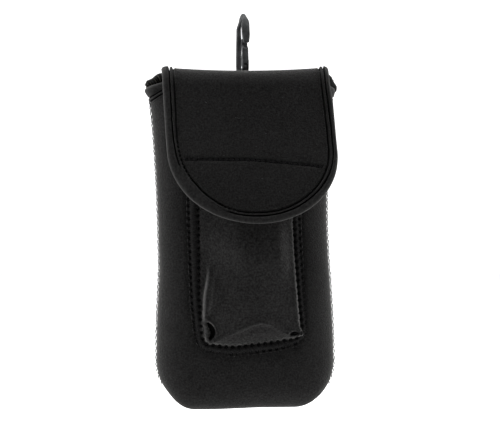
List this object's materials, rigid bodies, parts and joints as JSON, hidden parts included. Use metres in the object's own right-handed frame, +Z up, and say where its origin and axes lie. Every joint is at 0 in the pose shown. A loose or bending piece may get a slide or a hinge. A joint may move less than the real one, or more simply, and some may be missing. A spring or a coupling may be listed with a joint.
{
  "type": "flash pouch",
  "caption": "Upright soft pouch with a D-shaped flap, a bulging front pocket, a belt loop and a swivel snap hook on a webbing tab.",
  "frame": {"origin": "centre of the flat base the pouch stands on", "axes": "+Z up to the hook, +Y towards the back with the belt loop, -Y is the front with the flap"},
  "size_m": [0.1228, 0.0799, 0.2602],
  "materials": {
    "neoprene": "matt knit over foam",
    "pocket_cloth": "matt, slightly brushed knit",
    "binding": "smooth stretch tape",
    "closure": "hook and loop",
    "webbing": "woven",
    "plastic": "moulded satin",
    "steel": "plain"
  },
  "bodies": {
    "root": {"front_panel": "neoprene", "back_panel": "neoprene", "mouth_binding": "binding", "back_binding_left": "binding", "back_binding_right": "binding", "pocket": "pocket_cloth", "pocket_hem": "pocket_cloth", "pocket_closure": "closure", "belt_loop": "webbing", "hook_tab": "webbing"},
    "bridge": {"flap_bridge": "neoprene", "bridge_binding_left": "binding", "bridge_binding_right": "binding"},
    "flap": {"flap_front": "neoprene", "flap_binding": "binding", "flap_closure": "closure"},
    "eye": {"swivel_eye": "plastic"},
    "hook": {"hook_body": "plastic", "gate_pin": "steel"},
    "gate": {"gate": "plastic"}
  },
  "joints": [
    {"name": "flap_root", "type": "hinge", "parent": "root", "child": "bridge", "pos_m": [0, 0.01641, 0.21662], "axis": [-1, 0, 0], "range_deg": [0, 80]},
    {"name": "flap_fold", "type": "hinge", "parent": "bridge", "child": "flap", "pos_m": [0, -0.02391, 0.21662], "axis": [-1, 0, 0], "range_deg": [0, 90]},
    {"name": "hook_tilt", "type": "hinge", "parent": "root", "child": "eye", "pos_m": [-0.0016, 0.03, 0.2], "axis": [-1, 0, 0], "range_deg": [0, 120]},
    {"name": "hook_swivel", "type": "hinge", "parent": "eye", "child": "hook", "pos_m": [-0.0016, 0.03, 0.208], "axis": [0, 0, 1], "continuous": true},
    {"name": "gate_hinge", "type": "hinge", "parent": "hook", "child": "gate", "pos_m": [-0.00015, 0.02254, 0.22375], "axis": [-0.9816, -0.1908, 0], "range_deg": [0, 25], "stiffness_Nm_per_rad": 0.004, "springref_deg": -11.46}
  ]
}
